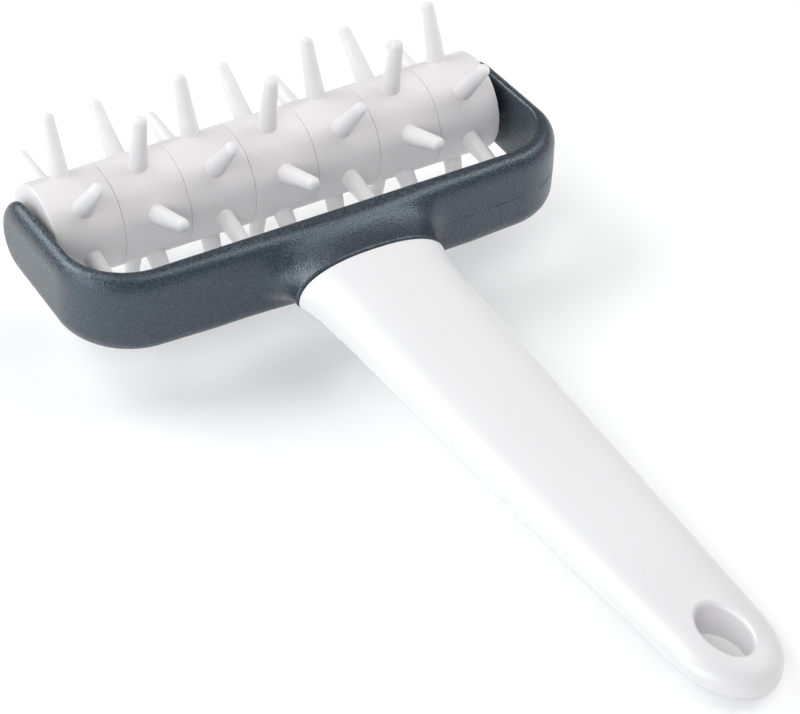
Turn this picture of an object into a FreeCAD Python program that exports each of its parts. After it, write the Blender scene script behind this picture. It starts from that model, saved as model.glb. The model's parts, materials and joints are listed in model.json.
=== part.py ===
import FreeCAD, Part
import math
import os
from FreeCAD import Vector

os.makedirs("parts", exist_ok=True)

# All sizes are millimetres or degrees.
# The tool is drawn about the roller axis.
# X runs along the roller, the handle points to -Y and Z is square to the tool.

# Spiked rings of the roller.
RING_COUNT = 7
RING_WIDTH = 15.0
RING_RADIUS = 11.0
RING_WALL = 1.8
RING_FLOOR = 2.0
HUB_WALL = 1.8
POCKET_SIDES = 8
SPIKES_PER_RING = 6
SPIKE_LENGTH = 13.1
SPIKE_BASE_DIAMETER = 4.15
SPIKE_TIP_DIAMETER = 2.7
SPIKE_TIP_ROUND = 1.1
SPIKE_SIDES = 8

# Square axle that keys the rings together.
AXLE_SQUARE = 6.0
AXLE_EDGE = 0.5
JOURNAL_DIAMETER = 4.6

# Yoke that carries the roller.
YOKE_HEIGHT = 17.5
ARM_END_HEIGHT = 15.9
ARM_THICKNESS = 3.3
BAR_THICKNESS = 6.5
BAR_SLANT = 2.6
BAR_STANDOFF = 7.0
OUTER_CORNER = 15.3
INNER_CORNER = 13.2
YOKE_ROUND = 2.6
BOSS_DIAMETER = 9.0
BOSS_HEIGHT = 1.3
ARM_SKIN = 1.2
NECK_LENGTH = 7.1
NECK_FLARE = 4.5
NECK_DIP = 0.35
NECK_INSET = 0.16
NECK_SQUARING = 0.5

# Handle with its hanging hole.
HANDLE_LENGTH = 130.3
MOUTH_WIDTH = 34.0
MOUTH_CROWN = 7.7
MOUTH_UNDER = 6.3
MOUTH_FLARE = 1.5
MOUTH_FLARE_LENGTH = 4.5
MOUTH_EDGE = 0.5
WAIST_CROWN = 4.6
CROWN_FADE = 26.0
UNDER_FADE = 11.0
TIP_WIDTH = 18.4
TIP_THICKNESS = 8.4
TIP_LENGTH = 14.5
PLAN_BOW = 1.25
SECTION_POWER = 2.3
UNDER_POWER = 1.8
TIP_PLAN_POWER = 2.2
TIP_SIDE_POWER = 3.0
SECTION_SIDES = 24
HOLE_WIDTH = 7.9
HOLE_LENGTH = 13.2
HOLE_FROM_TIP = 12.5
HOLE_ROUND = 1.2

# Tang of the yoke inside the handle.
PLUG_WIDTH = 24.0
PLUG_THICKNESS = 7.4
PLUG_LENGTH = 10.0
TANG_WIDTH = 15.0
TANG_THICKNESS = 5.6
TANG_LENGTH = 64.0
TANG_WEB = 1.8
TANG_RIB = 2.0
TANG_POCKETS = 4

# Clearances.
RING_SEAM = 0.16
KEY_CLEARANCE = 0.1
ROLLER_END_GAP = 1.6
RUNNING_CLEARANCE = 0.05
JOURNAL_END_GAP = 0.3
JOINT_LINE = 0.35
TANG_CLEARANCE = 0.1

# Sizes that follow from those above.
SPIKE_TIP_RADIUS = RING_RADIUS + SPIKE_LENGTH
SPIKE_PITCH = 360.0 / SPIKES_PER_RING
SPIKE_ROUND = min(SPIKE_TIP_ROUND, 0.45 * SPIKE_TIP_DIAMETER)
ROLLER_LENGTH = RING_COUNT * RING_WIDTH
HUB_SIDE = AXLE_SQUARE + 2 * KEY_CLEARANCE + 2 * HUB_WALL
ARM_INNER = ROLLER_LENGTH / 2 + ROLLER_END_GAP
ARM_OUTER = ARM_INNER + ARM_THICKNESS
JOURNAL_REACH = ARM_OUTER - ARM_SKIN
BAR_INNER = SPIKE_TIP_RADIUS + BAR_STANDOFF
BAR_OUTER = BAR_INNER + BAR_THICKNESS
EDGE_ROUND = min(YOKE_ROUND, 0.8 * ARM_THICKNESS, 0.45 * YOKE_HEIGHT)
ARM_TAPER = math.atan((YOKE_HEIGHT - ARM_END_HEIGHT) / 2 / BAR_INNER)
NECK_END = BAR_OUTER + NECK_LENGTH
NECK_REACH = YOKE_HEIGHT / 2 - NECK_INSET
MOUTH = NECK_END + JOINT_LINE
TIP = MOUTH + HANDLE_LENGTH
HOLE_CENTRE = TIP - HOLE_FROM_TIP
TINY = 0.01
AXIS_UP = Vector(0, 0, 1)
AXIS_X = Vector(1, 0, 0)
ALONG = Vector(0, -1, 0)
ORIGIN = Vector(0, 0, 0)


def oval(half_width, half_height, power, sides):
    """Corner points of a many-sided oval as pairs, squarer as the power grows."""
    points = []
    for i in range(sides):
        turn = 2 * math.pi * i / sides
        c = math.cos(turn)
        s = math.sin(turn)
        x = math.copysign(half_width * abs(c) ** (2 / power), c)
        y = math.copysign(half_height * abs(s) ** (2 / power), s)
        points.append((x, y))
    return points


def closed_wire(points):
    """Closed outline through points."""
    return Part.makePolygon(points + points[:1])


def cross_section(station, half_width, crown, under, power):
    """Oval section square to the handle, with its own height above and below the middle."""
    upper = oval(half_width, crown, power, SECTION_SIDES)
    lower = oval(half_width, under, UNDER_POWER, SECTION_SIDES)
    pairs = upper[:SECTION_SIDES // 2 + 1] + lower[SECTION_SIDES // 2 + 1:]
    return closed_wire([Vector(x, -station, z) for x, z in pairs])


def slot_prism(width, thickness, start, end):
    """Bar with round sides lying along the handle between two stations."""
    flat = (width - thickness) / 2
    radius = thickness / 2
    signs = [(-1, 1), (1, 1), (1, -1), (-1, -1)]
    corners = [Vector(x * flat, -start, z * radius) for x, z in signs]
    edges = [
        Part.LineSegment(corners[0], corners[1]).toShape(),
        Part.Arc(corners[1], Vector(flat + radius, -start, 0), corners[2]).toShape(),
        Part.LineSegment(corners[2], corners[3]).toShape(),
        Part.Arc(corners[3], Vector(-flat - radius, -start, 0), corners[0]).toShape(),
    ]
    return Part.Face(Part.Wire(edges)).extrude(ALONG * (end - start))


def handle_width(station):
    """Half width of the handle before its tip is rounded off."""
    along = station - MOUTH
    waist = MOUTH_WIDTH / 2 - MOUTH_FLARE
    taper = (waist - TIP_WIDTH / 2) * (max(along, 0) / HANDLE_LENGTH) ** PLAN_BOW
    return waist - taper + MOUTH_FLARE * math.exp(-along / MOUTH_FLARE_LENGTH)


def handle_crown(station):
    """Height of the top of the handle above its middle before the tip is rounded off."""
    along = max(station - MOUTH, 0)
    base = WAIST_CROWN + (TIP_THICKNESS / 2 - WAIST_CROWN) * along / HANDLE_LENGTH
    return base + (MOUTH_CROWN - WAIST_CROWN) * math.exp(-along / CROWN_FADE)


def handle_under(station):
    """Depth of the underside of the handle below its middle before the tip is rounded off."""
    along = max(station - MOUTH, 0)
    return TIP_THICKNESS / 2 + (MOUTH_UNDER - TIP_THICKNESS / 2) * math.exp(-along / UNDER_FADE)


def tip_fade(station, power):
    """Share of the full section that is left at a station of the rounded tip."""
    share = max(station - TIP + TIP_LENGTH, 0) / TIP_LENGTH
    return (1 - share ** power) ** (1 / power)


def handle_outside():
    """Outside of the handle: an oval mouth, a long taper and a rounded tip."""
    start = TIP - TIP_LENGTH
    first = MOUTH + MOUTH_EDGE
    stations = [first + (start - first) * share for share in (0, 0.03, 0.07, 0.14, 0.25, 0.42, 0.68, 1)]
    stations += [start + TIP_LENGTH * share for share in (0.3, 0.55, 0.75, 0.89, 0.97, 0.995)]
    lip = [size - MOUTH_EDGE for size in (MOUTH_WIDTH / 2, MOUTH_CROWN, MOUTH_UNDER)]
    sections = [cross_section(MOUTH, *lip, SECTION_POWER)]
    for station in stations:
        width = handle_width(station) * tip_fade(station, TIP_PLAN_POWER)
        crown = handle_crown(station) * tip_fade(station, TIP_SIDE_POWER)
        under = handle_under(station) * tip_fade(station, TIP_SIDE_POWER)
        sections.append(cross_section(station, width, crown, under, SECTION_POWER))
    return Part.makeLoft(sections, True, True)


def hanging_hole():
    """Long oval hole through the handle near its tip, opening out at both rims."""
    rim = [(HOLE_ROUND, 2), (0, 1), (-0.4 * HOLE_ROUND, 0.35), (-1.2 * HOLE_ROUND, 0)]
    levels = [(-handle_under(HOLE_CENTRE) - rise, spread) for rise, spread in rim]
    levels += [(handle_crown(HOLE_CENTRE) + rise, spread) for rise, spread in reversed(rim)]
    sections = []
    for height, spread in levels:
        wider = spread * HOLE_ROUND
        pairs = oval(HOLE_WIDTH / 2 + wider, HOLE_LENGTH / 2 + wider, 2, SECTION_SIDES)
        sections.append(closed_wire([Vector(x, y - HOLE_CENTRE, height) for x, y in pairs]))
    return Part.makeLoft(sections, True, True)


def handle():
    """Handle with a socket for the tang and a hanging hole."""
    body = handle_outside().cut(hanging_hole())
    gap = 2 * TANG_CLEARANCE
    mouth = slot_prism(PLUG_WIDTH + gap, PLUG_THICKNESS + gap, MOUTH - MOUTH_EDGE, MOUTH + PLUG_LENGTH)
    core = slot_prism(TANG_WIDTH + gap, TANG_THICKNESS + gap, MOUTH, MOUTH + TANG_LENGTH + gap)
    return body.cut(mouth.fuse(core)).Solids[0]


def many_sided(profile, sides):
    """Solid about Z with flat sides from a profile of radius and height pairs."""
    loops = []
    for radius, height in profile:
        loops.append([Vector(x, y, height) for x, y in oval(radius, radius, 2, sides)])
    faces = [Part.Face(closed_wire(loops[0])), Part.Face(closed_wire(loops[-1]))]
    for low, high in zip(loops, loops[1:]):
        for i in range(sides):
            faces.append(Part.Face(closed_wire([low[i - 1], low[i], high[i], high[i - 1]])))
    return Part.makeSolid(Part.makeShell(faces))


def spike():
    """Tapered spike with a rounded point, standing up from the ring."""
    root = RING_RADIUS - RING_WALL / 2
    taper = (SPIKE_BASE_DIAMETER - SPIKE_TIP_DIAMETER) / 2 / SPIKE_LENGTH
    profile = [(SPIKE_BASE_DIAMETER / 2 + taper * (RING_RADIUS - root), root)]
    tip = SPIKE_TIP_DIAMETER / 2 - SPIKE_ROUND
    for turn in (0, 55):
        lift = SPIKE_ROUND * math.sin(math.radians(turn))
        spread = SPIKE_ROUND * math.cos(math.radians(turn))
        profile.append((tip + spread, SPIKE_TIP_RADIUS - SPIKE_ROUND + lift))
    return many_sided(profile, SPIKE_SIDES)


def square_bar(side, start, length):
    """Square bar about the roller axis from a start along X."""
    return Part.makeBox(length, side, side, Vector(start, -side / 2, -side / 2))


def ring_pocket(half):
    """Hollow between rim and hub, open on one side of the ring."""
    radius = RING_RADIUS - RING_WALL
    pairs = oval(radius, radius, 2, POCKET_SIDES)
    outline = closed_wire([Vector(RING_FLOOR - half, y, z) for y, z in pairs])
    hollow = Part.Face(outline).extrude(AXIS_X * RING_WIDTH)
    return hollow.cut(square_bar(HUB_SIDE, -RING_WIDTH, 2 * RING_WIDTH))


def ring(phase):
    """One spiked ring with its spikes turned by a phase and its bore left square to the axle."""
    half = (RING_WIDTH - RING_SEAM) / 2
    drum = Part.makeCylinder(RING_RADIUS, 2 * half, Vector(-half, 0, 0), AXIS_X)
    spikes = []
    for i in range(SPIKES_PER_RING):
        piece = spike()
        piece.rotate(ORIGIN, AXIS_X, phase + i * SPIKE_PITCH)
        spikes.append(piece)
    bore = square_bar(AXLE_SQUARE + 2 * KEY_CLEARANCE, -RING_WIDTH, 2 * RING_WIDTH)
    return drum.multiFuse(spikes).cut(ring_pocket(half)).cut(bore).Solids[0]


def rings():
    """All rings in order, every second one half a spike pitch round, the last one turned end for end."""
    plain = ring(0)
    staggered = ring(SPIKE_PITCH / 2)
    stack = []
    for i in range(RING_COUNT):
        body = (plain if i % 2 == 0 else staggered).copy()
        if i == RING_COUNT - 1:
            body.rotate(ORIGIN, AXIS_UP, 180)
        body.translate(AXIS_X * RING_WIDTH * (i - (RING_COUNT - 1) / 2))
        stack.append(body)
    return stack


def axle():
    """Square axle with a round journal at each end."""
    length = ROLLER_LENGTH - RING_SEAM
    bar = square_bar(AXLE_SQUARE, -length / 2, length)
    bar = bar.makeChamfer(AXLE_EDGE, [e for e in bar.Edges if e.BoundBox.XLength > RING_WIDTH])
    reach = JOURNAL_REACH - JOURNAL_END_GAP
    journal = Part.makeCylinder(JOURNAL_DIAMETER / 2, 2 * reach, Vector(-reach, 0, 0), AXIS_X)
    return bar.fuse(journal).Solids[0]


def outer_half():
    """Left half of the outline of the U-shaped yoke, its bar slanting out to the middle."""
    lean = math.radians(BAR_SLANT)
    reach = ARM_OUTER - OUTER_CORNER
    centre = Vector(-reach, (OUTER_CORNER + reach * math.sin(lean)) / math.cos(lean) - BAR_OUTER, 0)
    square = Vector(-math.sin(lean), -math.cos(lean), 0)
    a = Vector(0, YOKE_HEIGHT, 0)
    b = Vector(-ARM_OUTER, YOKE_HEIGHT, 0)
    c = Vector(-ARM_OUTER, centre.y, 0)
    d = centre + (square - AXIS_X).normalize() * OUTER_CORNER
    e = centre + square * OUTER_CORNER
    f = Vector(0, -BAR_OUTER, 0)
    edges = [
        Part.LineSegment(a, b).toShape(),
        Part.LineSegment(b, c).toShape(),
        Part.Arc(c, d, e).toShape(),
        Part.LineSegment(e, f).toShape(),
        Part.LineSegment(f, a).toShape(),
    ]
    return Part.Face(Part.Wire(edges))


def roller_bay():
    """Left half of the bay that the roller turns in, with a rounded corner."""
    bend = INNER_CORNER * (1 - math.sqrt(0.5))
    a = Vector(ARM_OUTER, 2 * YOKE_HEIGHT, 0)
    b = Vector(-ARM_INNER, 2 * YOKE_HEIGHT, 0)
    c = Vector(-ARM_INNER, INNER_CORNER - BAR_INNER, 0)
    d = Vector(bend - ARM_INNER, bend - BAR_INNER, 0)
    e = Vector(INNER_CORNER - ARM_INNER, -BAR_INNER, 0)
    f = Vector(ARM_OUTER, -BAR_INNER, 0)
    edges = [
        Part.LineSegment(a, b).toShape(),
        Part.LineSegment(b, c).toShape(),
        Part.Arc(c, d, e).toShape(),
        Part.LineSegment(e, f).toShape(),
        Part.LineSegment(f, a).toShape(),
    ]
    bay = Part.Face(Part.Wire(edges)).extrude(AXIS_UP * 2 * YOKE_HEIGHT)
    bay.translate(AXIS_UP * -YOKE_HEIGHT)
    return bay


def yoke_side():
    """Side view of the upper half of the yoke: it tapers to an end rounded about the roller axis."""
    radius = ARM_END_HEIGHT / 2
    back = 2 * BAR_OUTER
    high = radius / math.cos(ARM_TAPER) + back * math.tan(ARM_TAPER)
    touch = Vector(0, radius * math.sin(ARM_TAPER), radius * math.cos(ARM_TAPER))
    half_way = (math.pi / 2 - ARM_TAPER) / 2
    bend = Vector(0, radius * math.cos(half_way), radius * math.sin(half_way))
    edges = [
        Part.LineSegment(Vector(0, -back, high), touch).toShape(),
        Part.Arc(touch, bend, Vector(0, radius, 0)).toShape(),
        Part.LineSegment(Vector(0, radius, 0), Vector(0, -back, 0)).toShape(),
        Part.LineSegment(Vector(0, -back, 0), Vector(0, -back, high)).toShape(),
    ]
    return Part.Face(Part.Wire(edges))


def on_outer_rim(edge):
    """Whether an edge of the sharp quarter frame runs round the outside of the yoke."""
    box = edge.BoundBox
    upright = box.XLength + box.YLength < box.ZLength / 4
    on_arm = box.XMin < TINY - ARM_OUTER and box.XLength + TINY < ARM_THICKNESS
    on_bar = box.YMin < -BAR_INNER - TINY and box.XLength > TINY
    return (on_arm or on_bar) and not upright and box.ZMax > TINY


def yoke_frame():
    """Arms and bar with the outer rim rounded, one quarter mirrored across the middle and the mould line."""
    outline = outer_half().extrude(AXIS_UP * 2 * YOKE_HEIGHT)
    outline.translate(AXIS_UP * -YOKE_HEIGHT)
    outline.rotate(ORIGIN, AXIS_X, -math.degrees(ARM_TAPER))
    side = yoke_side().extrude(AXIS_X * -2 * ARM_OUTER)
    quarter = outline.common(side).cut(roller_bay()).removeSplitter().Solids[0]
    quarter = quarter.makeFillet(EDGE_ROUND, [e for e in quarter.Edges if on_outer_rim(e)])
    half = quarter.fuse(quarter.mirror(ORIGIN, AXIS_UP))
    return half.fuse(half.mirror(ORIGIN, AXIS_X)).removeSplitter()


def neck():
    """Flared neck from the bar to an oval collar the size of the handle mouth."""
    sections = []
    start = BAR_OUTER - BAR_THICKNESS / 2
    for share in (0, 0.2, 0.36, 0.5, 0.64, 0.82, 1):
        station = start + (NECK_END - start) * share
        near = min(1, (NECK_END - station) / NECK_LENGTH)
        flare = NECK_FLARE * (1 - math.sqrt(1 - near ** 2))
        dip = NECK_DIP * math.sin(math.pi * share)
        crown = MOUTH_CROWN + (NECK_REACH - MOUTH_CROWN) * (1 - share) ** 2 - dip
        under = MOUTH_UNDER + (NECK_REACH - MOUTH_UNDER) * (1 - share) ** 2 - dip
        power = SECTION_POWER + near * NECK_SQUARING
        sections.append(cross_section(station, MOUTH_WIDTH / 2 + flare, crown, under, power))
    return Part.makeLoft(sections, True, True)


def tang_pockets():
    """Pockets on both faces of the tang, leaving a web, side ribs and cross ribs."""
    pitch = (TANG_LENGTH - PLUG_LENGTH - TANG_RIB) / TANG_POCKETS
    width = TANG_WIDTH - TANG_THICKNESS
    pockets = []
    for i in range(TANG_POCKETS):
        far = MOUTH + PLUG_LENGTH + TANG_RIB + (i + 1) * pitch - TANG_RIB
        for side in (-1, 1):
            low = TANG_WEB / 2 if side > 0 else -TANG_WEB / 2 - TANG_THICKNESS
            corner = Vector(-width / 2, -far, low)
            pockets.append(Part.makeBox(width, pitch - TANG_RIB, TANG_THICKNESS, corner))
    return pockets


def tang():
    """Plug and ribbed tang that sit in the handle."""
    root = NECK_END - NECK_LENGTH / 2
    plug = slot_prism(PLUG_WIDTH, PLUG_THICKNESS, root, MOUTH + PLUG_LENGTH - TANG_CLEARANCE)
    blade = slot_prism(TANG_WIDTH, TANG_THICKNESS, NECK_END, MOUTH + TANG_LENGTH)
    return plug.fuse(blade.cut(Part.makeCompound(tang_pockets())))


def yoke():
    """Yoke in one moulding: arms, bosses, bar, neck and tang."""
    pieces = [neck(), tang()]
    bores = []
    for side in (-1, 1):
        boss_face = side * (ARM_INNER - BOSS_HEIGHT)
        boss = BOSS_HEIGHT + ARM_THICKNESS / 4
        pieces.append(Part.makeCylinder(BOSS_DIAMETER / 2, boss, Vector(boss_face, 0, 0), AXIS_X * side))
        radius = JOURNAL_DIAMETER / 2 + RUNNING_CLEARANCE
        depth = JOURNAL_REACH - abs(boss_face)
        bores.append(Part.makeCylinder(radius, depth, Vector(boss_face, 0, 0), AXIS_X * side))
    body = yoke_frame().multiFuse(pieces)
    return body.cut(Part.makeCompound(bores)).removeSplitter().Solids[0]


def spike_stand():
    """Height of the roller axis when it stands on two neighbouring rows of spikes."""
    lean = math.radians(SPIKE_PITCH / 4)
    edge = SPIKE_TIP_DIAMETER / 2 - SPIKE_ROUND
    return (SPIKE_TIP_RADIUS - SPIKE_ROUND) * math.cos(lean) + edge * math.sin(lean) + SPIKE_ROUND


def tip_drop(tilt):
    """How far the underside of the handle tip hangs below the roller axis at a slope."""
    drops = []
    steps = 40
    for step in range(steps):
        station = TIP - TIP_LENGTH * step / steps
        under = handle_under(station) * tip_fade(station, TIP_SIDE_POWER)
        drops.append(station * math.sin(tilt) + under * math.cos(tilt))
    return max(drops)


def rest_tilt():
    """Slope of the tool in degrees when the handle tip lies on the table."""
    low = 0.0
    high = math.pi / 4
    while high - low > 1e-6:
        middle = (low + high) / 2
        if tip_drop(middle) < spike_stand():
            low = middle
        else:
            high = middle
    return math.degrees(low)


def build():
    """Every piece in the resting pose, by the name of its node."""
    fixed = {"yoke": yoke(), "handle": handle()}
    turning = {"axle": axle()}
    for number, body in enumerate(rings(), 1):
        turning["ring_%d" % number] = body
    for body in fixed.values():
        body.rotate(ORIGIN, AXIS_X, rest_tilt())
    for body in turning.values():
        body.rotate(ORIGIN, AXIS_X, -SPIKE_PITCH / 4)
    nodes = {**fixed, **turning}
    whole = Part.makeCompound(list(nodes.values())).optimalBoundingBox(False, False)
    for body in nodes.values():
        body.translate(Vector(0, -whole.Center.y, -whole.ZMin))
    return nodes


for node, solid in build().items():
    solid.exportStep("parts/%s.step" % node)
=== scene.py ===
"""Looks of a hand dough docker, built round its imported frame."""

import json
import logging
import math
from dataclasses import dataclass, field
from enum import Enum
from typing import Any, Callable, Optional, Sequence, Union

import bmesh
import bpy
import numpy as np
from mathutils import Matrix, Vector

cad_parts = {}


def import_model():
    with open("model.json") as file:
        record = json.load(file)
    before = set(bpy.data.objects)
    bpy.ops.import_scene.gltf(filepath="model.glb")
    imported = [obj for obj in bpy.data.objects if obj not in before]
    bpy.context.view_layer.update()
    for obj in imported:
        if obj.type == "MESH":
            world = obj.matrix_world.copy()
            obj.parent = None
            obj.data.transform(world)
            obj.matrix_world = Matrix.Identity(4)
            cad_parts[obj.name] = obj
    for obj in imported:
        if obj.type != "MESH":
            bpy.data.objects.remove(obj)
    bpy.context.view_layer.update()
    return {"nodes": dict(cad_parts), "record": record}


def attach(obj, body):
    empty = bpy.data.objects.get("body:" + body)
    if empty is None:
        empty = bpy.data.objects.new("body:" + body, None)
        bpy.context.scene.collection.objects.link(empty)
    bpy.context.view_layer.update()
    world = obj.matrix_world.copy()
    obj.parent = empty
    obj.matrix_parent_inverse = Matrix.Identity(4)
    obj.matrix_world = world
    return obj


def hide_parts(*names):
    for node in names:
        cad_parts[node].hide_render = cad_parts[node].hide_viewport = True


LOG = logging.getLogger("dough_docker")
IMAGE_WIDTH = 800
MM = 0.001

RIGHT = (1.0, 0.0, 0.0)
BACK = (0.0, 1.0, 0.0)
UP = (0.0, 0.0, 1.0)
WHITE = (1.0, 1.0, 1.0)

# Power of a plain ellipse
ELLIPSE = 2

# What counts as nothing in a sine, in a share and between two points in metres
ROUNDING = 1e-9
SMALL_SHARE = 1e-6
MERGE_DISTANCE = 1e-7

# How far cutters and grids reach past a shape, in millimetres
MARGIN = 1.0

# Points round the tang and its socket
BAR_SIDES = 48

# Middle level of the noise
MEAN = 0.5

# Socket numbers of the Mix node when it mixes colours
MIX_SHARE = 0
MIX_FIRST = 6
MIX_SECOND = 7
MIX_RESULT = 2


class Body(Enum):
    """Rigid bodies that the pieces ride on."""

    FRAME = "frame"
    ROLLER = "roller"


class Slot(Enum):
    """Material slots of the record that the new pieces use."""

    YOKE = "yoke"
    HANDLE = "handle"
    ROLLER = "roller"


class Cut(Enum):
    """Ways to combine two closed meshes."""

    JOIN = "UNION"
    TAKE_AWAY = "DIFFERENCE"


@dataclass(frozen=True)
class Value:
    """An output socket of a shader tree that takes part in Python arithmetic."""

    tree: bpy.types.NodeTree
    socket: bpy.types.NodeSocket

    def _math(self, operation: str, first: Any, second: Any) -> "Value":
        """Add one Math node for two operands, which are values or numbers."""
        node = self.tree.nodes.new("ShaderNodeMath")
        node.operation = operation
        for socket, operand in zip(node.inputs, (first, second)):
            if isinstance(operand, Value):
                self.tree.links.new(operand.socket, socket)
            else:
                socket.default_value = float(operand)
        return Value(self.tree, node.outputs[0])

    def __add__(self, other: Any) -> "Value":
        """Sum with a value or number."""
        return self._math("ADD", self, other)

    def __radd__(self, other: Any) -> "Value":
        """Sum with a number on the left."""
        return self._math("ADD", other, self)

    def __sub__(self, other: Any) -> "Value":
        """Difference to a value or number."""
        return self._math("SUBTRACT", self, other)

    def __rsub__(self, other: Any) -> "Value":
        """Difference from a number on the left."""
        return self._math("SUBTRACT", other, self)

    def __mul__(self, other: Any) -> "Value":
        """Product with a value or number."""
        return self._math("MULTIPLY", self, other)

    def __rmul__(self, other: Any) -> "Value":
        """Product with a number on the left."""
        return self._math("MULTIPLY", other, self)

    def __truediv__(self, other: Any) -> "Value":
        """Quotient by a value or number."""
        return self._math("DIVIDE", self, other)

    def __pow__(self, other: Any) -> "Value":
        """Power of a value or number."""
        return self._math("POWER", self, other)

    def __abs__(self) -> "Value":
        """Size without its sign."""
        return self._math("ABSOLUTE", self, 0.0)


class Nodes:
    """Node tree with one way to add any node."""

    def __init__(self, tree: bpy.types.NodeTree) -> None:
        """Empty the node tree of a material or of the surroundings."""
        self.tree = tree
        self.tree.nodes.clear()

    def node(
        self,
        kind: str,
        settings: dict,
        sockets: dict,
        output: Union[int, str, None] = 0,
    ) -> Optional[Value]:
        """Add any node.

        Args:
            kind: Blender's type name of the node.
            settings: Properties of the node, which are set first.
            sockets: Numbers, colours or values by socket name or number.
            output: Name or number of the output to return, or none.

        Returns:
            The chosen output as a value, if one is asked for.
        """
        node = self.tree.nodes.new(kind)
        for key, setting in settings.items():
            setattr(node, key, setting)
        for key, given in sockets.items():
            self._feed(node.inputs[key], given)
        return None if output is None else Value(self.tree, node.outputs[output])

    def _feed(self, socket: bpy.types.NodeSocket, given: Any) -> None:
        """Link a value to a socket or set it to a constant."""
        if isinstance(given, Value):
            self.tree.links.new(given.socket, socket)
        else:
            socket.default_value = given

    def along(self, place: Value, direction: Sequence[float]) -> Value:
        """Distance of a place along a direction."""
        sockets = {0: place, 1: tuple(direction)}
        return self.node("ShaderNodeVectorMath", {"operation": "DOT_PRODUCT"}, sockets, "Value")


class Coating(Nodes):
    """Node tree of one material, with the sockets of its surface shader at hand."""

    def __init__(self, name: str) -> None:
        """Start an empty material of that name."""
        self.material = bpy.data.materials.new(name)
        self.material.use_nodes = True
        super().__init__(self.material.node_tree)
        self.surface = self.tree.nodes.new("ShaderNodeBsdfPrincipled")
        end = self.tree.nodes.new("ShaderNodeOutputMaterial")
        self.tree.links.new(self.surface.outputs[0], end.inputs["Surface"])
        self.place = self.node("ShaderNodeTexCoord", {}, {}, "Object")

    def noise(self, size_mm: float, detail: float, stretch: Sequence[float] = (1, 1, 1)) -> Value:
        """Soft noise in the object's own coordinates.

        Args:
            size_mm: Size of one blotch in millimetres.
            detail: Number of finer layers.
            stretch: How much longer the blotches are along each axis.

        Returns:
            Noise between about 0 and 1.
        """
        scale = [1.0 / times for times in stretch]
        spot = self.node("ShaderNodeMapping", {}, {"Vector": self.place, "Scale": scale})
        sockets = {"Vector": spot, "Scale": 1.0 / (size_mm * MM), "Detail": detail}
        return self.node("ShaderNodeTexNoise", {}, sockets)

    def cells(self, size_mm: float) -> Value:
        """Distance pattern of small cells, for a spark-eroded grain."""
        sockets = {"Vector": self.place, "Scale": 1.0 / (size_mm * MM)}
        return self.node("ShaderNodeTexVoronoi", {"feature": "SMOOTH_F1"}, sockets, "Distance")

    def ramp(self, value: Value, low: float, high: float) -> Value:
        """Stretch the part of a value between two levels over 0 to 1."""
        sockets = {"Value": value, "From Min": low, "From Max": high}
        return self.node("ShaderNodeMapRange", {"clamp": True}, sockets)

    def edges(self, low: float, high: float) -> Value:
        """Mask of the outward edges of a mesh."""
        point = self.node("ShaderNodeNewGeometry", {}, {}, "Pointiness")
        return self.ramp(point, low, high)

    def blend(self, share: Value, first: Any, second: Sequence[float]) -> Value:
        """Mix a colour, fixed or varying, with a share of a second one that is fixed."""
        start = first if isinstance(first, Value) else (*first, 1.0)
        sockets = {MIX_SHARE: share, MIX_FIRST: start, MIX_SECOND: (*second, 1.0)}
        return self.node("ShaderNodeMix", {"data_type": "RGBA"}, sockets, MIX_RESULT)

    def bump(self, height: Value, depth_mm: float, strength: float) -> Value:
        """Surface normal of a fine relief with heights between 0 and 1."""
        sockets = {"Height": height, "Distance": depth_mm * MM, "Strength": strength}
        return self.node("ShaderNodeBump", {}, sockets)

    def dress(self, **sockets: Any) -> bpy.types.Material:
        """Feed the surface shader and hand the material over.

        Args:
            **sockets: Names of sockets with underscores for blanks, and what they get.

        Returns:
            The finished material.
        """
        for name, given in sockets.items():
            self._feed(self.surface.inputs[name.replace("_", " ")], given)
        return self.material


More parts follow.
